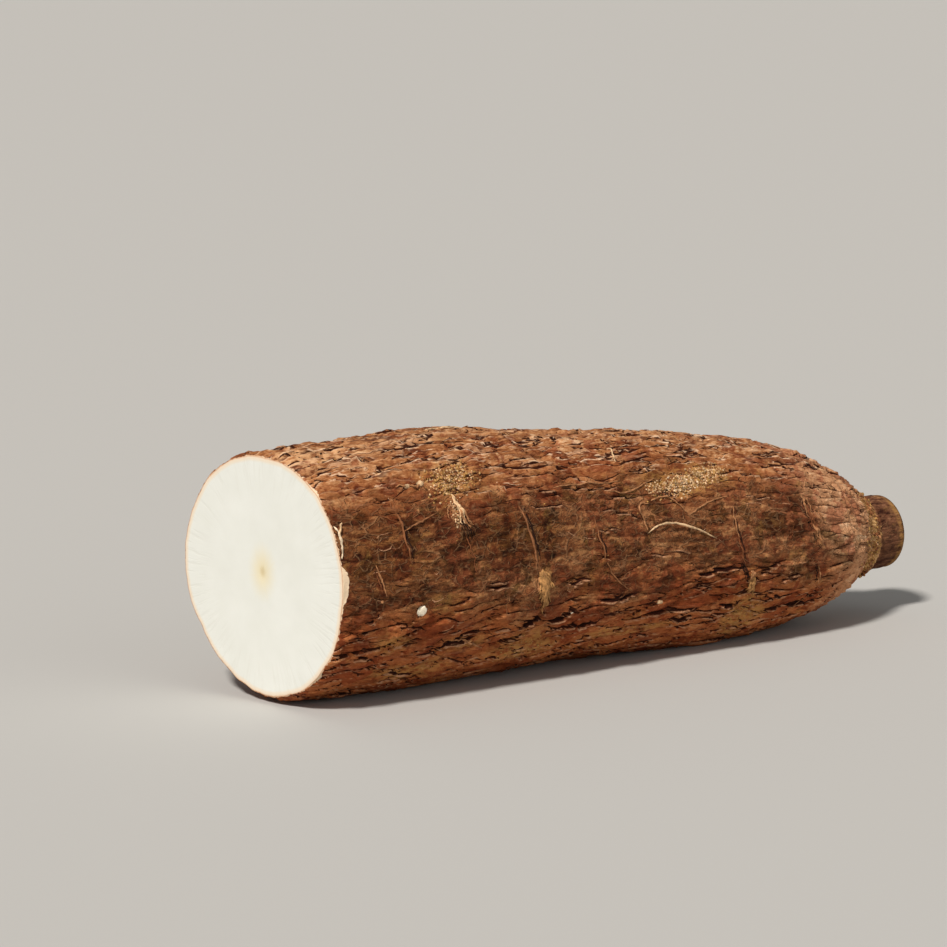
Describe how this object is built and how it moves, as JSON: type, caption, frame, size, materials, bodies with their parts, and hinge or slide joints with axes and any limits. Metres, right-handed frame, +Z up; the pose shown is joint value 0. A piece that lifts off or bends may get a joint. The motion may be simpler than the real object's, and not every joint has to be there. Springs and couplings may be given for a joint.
{
  "type": "cassava root",
  "caption": "Thick half of a cassava root lying on its side: rough brown bark, a white cut face across one end, a round shoulder and a short neck stub at the other.",
  "frame": {"origin": "on the surface that the root lies on, under the middle of its bounding box", "axes": "+X along the root from the cut face towards the neck, +Z up, +Y to the left of +X"},
  "size_m": [0.2176, 0.0668, 0.0649],
  "materials": {
    "bark": "matt, flaking reddish brown bark with lighter torn lips and dark cracks along the root",
    "flesh": "moist creamy white starchy flesh with faint rays, a yellow middle and a thin pale rind"
  },
  "bodies": {
    "root": {"cassava_root": "bark"}
  },
  "joints": []
}
